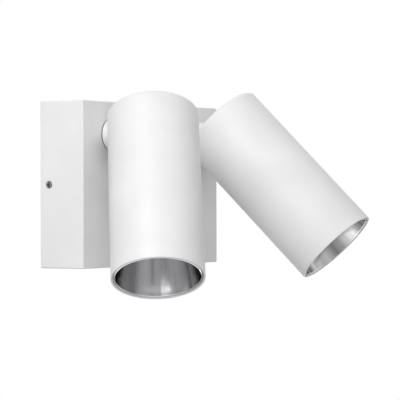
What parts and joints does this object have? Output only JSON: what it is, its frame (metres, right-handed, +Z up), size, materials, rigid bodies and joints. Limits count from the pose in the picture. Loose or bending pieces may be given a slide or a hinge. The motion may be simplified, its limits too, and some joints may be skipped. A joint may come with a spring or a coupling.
{
  "type": "pivoting twin spotlight wall light",
  "caption": "White box-shaped wall base carrying tube-shaped spotlight heads on short arms that swing and tilt.",
  "frame": {"origin": "middle of the base's back face, on the wall plane, half way between the two wall fixings", "axes": "+X to the right as seen from the room, +Y into the wall, +Z up"},
  "size_m": [0.197, 0.1475, 0.1254],
  "materials": {
    "powder_white": "smooth satin white powder coat",
    "zinc_steel": "bright zinc plating",
    "bright_steel": "nickel plated, turned",
    "black_rubber": "matt moulded rubber",
    "ivory_plastic": "moulded insulating plastic",
    "brass": "bare turned brass",
    "earth_wire": "insulation, green with a yellow stripe",
    "mains_wire": "insulation, brown and blue",
    "lead_wire": "white silicone sheath",
    "dark_plastic": "fine spark-eroded black plastic",
    "circuit_board": "green solder mask",
    "black_nylon": "smooth nylon",
    "raw_aluminium": "bare die-cast aluminium",
    "thermal_pad": "soft grey silicone",
    "white_board": "white solder mask on aluminium",
    "phosphor": "yellow phosphor gel",
    "white_plastic": "moulded white plastic",
    "polished_aluminium": "spun, polished and anodised mirror"
  },
  "bodies": {
    "base": {"wall_plate": "zinc_steel", "base_cover": "powder_white", "cover_screws": "bright_steel", "cable_grommet": "black_rubber", "terminal_block": "ivory_plastic", "terminal_clamps": "brass", "terminal_screws": "bright_steel", "terminal_fixing_screws": "zinc_steel", "earth_tag": "zinc_steel", "earth_screw": "brass", "earth_lead": "earth_wire", "driver_case": "dark_plastic", "driver_lid": "dark_plastic", "driver_board": "circuit_board", "driver_screws": "zinc_steel", "driver_input_leads": "mains_wire", "left_base_lead": "lead_wire", "right_base_lead": "lead_wire"},
    "left_arm": {"left_swivel_arm": "powder_white", "left_friction_washer": "black_nylon", "left_disc_spring": "bright_steel", "left_stop_washer": "zinc_steel", "left_swivel_nut": "bright_steel", "left_pivot_screws": "bright_steel", "left_pivot_washers": "black_nylon", "left_arm_lead": "lead_wire"},
    "left_head": {"left_head_tube": "powder_white", "left_yoke": "zinc_steel", "left_yoke_screws": "bright_steel", "left_heat_sink": "raw_aluminium", "left_tube_screw": "bright_steel", "left_thermal_pad": "thermal_pad", "left_led_board": "white_board", "left_led_chip": "phosphor", "left_led_holder": "white_plastic", "left_holder_screws": "bright_steel", "left_reflector": "polished_aluminium", "left_head_lead": "lead_wire"},
    "right_arm": {"right_swivel_arm": "powder_white", "right_friction_washer": "black_nylon", "right_disc_spring": "bright_steel", "right_stop_washer": "zinc_steel", "right_swivel_nut": "bright_steel", "right_pivot_screws": "bright_steel", "right_pivot_washers": "black_nylon", "right_arm_lead": "lead_wire"},
    "right_head": {"right_head_tube": "powder_white", "right_yoke": "zinc_steel", "right_yoke_screws": "bright_steel", "right_heat_sink": "raw_aluminium", "right_tube_screw": "bright_steel", "right_thermal_pad": "thermal_pad", "right_led_board": "white_board", "right_led_chip": "phosphor", "right_led_holder": "white_plastic", "right_holder_screws": "bright_steel", "right_reflector": "polished_aluminium", "right_head_lead": "lead_wire"}
  },
  "joints": [
    {"name": "left_swing", "type": "hinge", "parent": "base", "child": "left_arm", "pos_m": [-0.0465, -0.0315, 0.03], "axis": [0, -1, 0], "range_deg": [-151.2, 33.8]},
    {"name": "left_tilt", "type": "hinge", "parent": "left_arm", "child": "left_head", "pos_m": [-0.0465, -0.06254, 0.03], "axis": [-0.915, 0, 0.4035], "range_deg": [-16.7, 73.3]},
    {"name": "right_swing", "type": "hinge", "parent": "base", "child": "right_arm", "pos_m": [0.0465, -0.0315, 0.03], "axis": [0, -1, 0], "range_deg": [-22.1, 162.9]},
    {"name": "right_tilt", "type": "hinge", "parent": "right_arm", "child": "right_head", "pos_m": [0.0465, -0.06254, 0.03], "axis": [-0.9778, 0, -0.2096], "range_deg": [-42.5, 47.5]}
  ]
}
